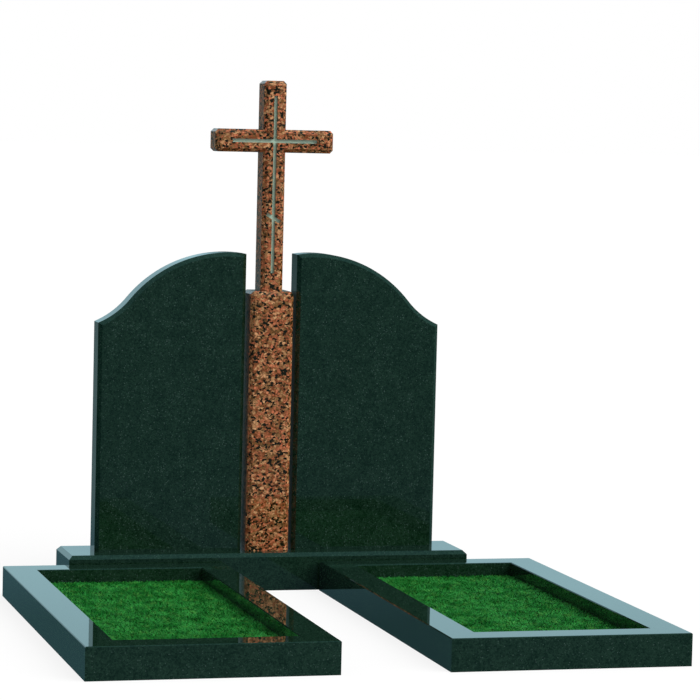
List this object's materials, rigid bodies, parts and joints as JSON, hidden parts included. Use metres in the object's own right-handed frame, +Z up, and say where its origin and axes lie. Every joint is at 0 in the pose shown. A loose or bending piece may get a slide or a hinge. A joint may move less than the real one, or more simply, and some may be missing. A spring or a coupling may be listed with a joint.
{
  "type": "double headstone memorial with grave beds",
  "caption": "Polished granite grave memorial: mirrored slabs with a red granite cross pillar between them on one plinth, and kerbed beds of turf in front.",
  "frame": {"origin": "on the ground, under the middle of the whole memorial", "axes": "+Z up, +X to the viewer's right, the front of the stones faces -Y"},
  "size_m": [2.164, 2.131, 2.034],
  "materials": {
    "dark_granite": "polished",
    "red_granite": "polished",
    "silver_paint": "satin",
    "turf": "matte"
  },
  "bodies": {
    "root": {"plinth": "dark_granite", "left_slab": "dark_granite", "right_slab": "dark_granite", "cross_pillar": "red_granite", "left_front_kerb": "dark_granite", "left_back_kerb": "dark_granite", "left_outer_kerb": "dark_granite", "left_inner_kerb": "dark_granite", "left_turf": "turf", "right_front_kerb": "dark_granite", "right_back_kerb": "dark_granite", "right_outer_kerb": "dark_granite", "right_inner_kerb": "dark_granite", "right_turf": "turf"}
  },
  "joints": []
}
